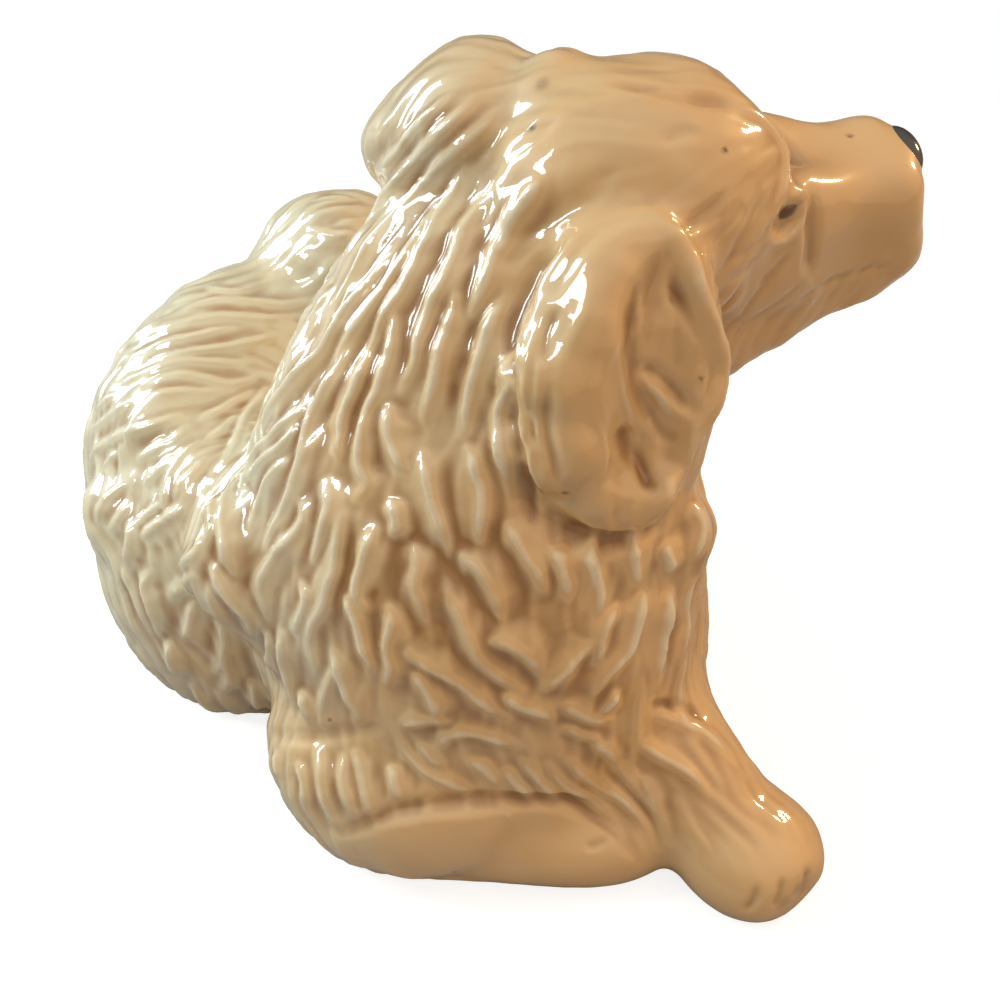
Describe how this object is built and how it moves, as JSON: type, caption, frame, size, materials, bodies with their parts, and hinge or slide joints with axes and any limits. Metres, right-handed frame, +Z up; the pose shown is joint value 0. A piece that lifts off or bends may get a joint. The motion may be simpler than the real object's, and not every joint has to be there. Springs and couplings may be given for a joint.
{
  "type": "lying dog figurine",
  "caption": "Glossy honey-cream earthenware figurine of a long-haired dog lying down with its head raised and turned to its left.",
  "frame": {"origin": "middle of the underside of the overall box, on the surface the figurine stands on", "axes": "+X towards the chest and the stretched foreleg, +Y towards the dog's left side, +Z up"},
  "size_m": [0.1848, 0.13, 0.1346],
  "materials": {
    "honey_glaze": "gloss glaze, pooled darker in the grooves of the fur",
    "nose_enamel": "gloss black enamel",
    "eye_enamel": "gloss dark brown enamel",
    "bare_clay": "unglazed cream clay, matt"
  },
  "bodies": {
    "root": {"skull_shell": "honey_glaze", "ruff_shell": "honey_glaze", "trunk_shell": "honey_glaze", "right_haunch": "honey_glaze", "left_haunch": "honey_glaze", "muzzle": "honey_glaze", "lower_jaw": "honey_glaze", "nose_pad": "nose_enamel", "right_eye": "eye_enamel", "left_eye": "eye_enamel", "right_ear": "honey_glaze", "left_ear": "honey_glaze", "left_forepaw": "honey_glaze", "left_foreleg": "honey_glaze", "right_forearm": "honey_glaze", "right_upper_arm": "honey_glaze", "left_hind_foot": "honey_glaze", "tail": "honey_glaze", "base_plate": "bare_clay"}
  },
  "joints": []
}
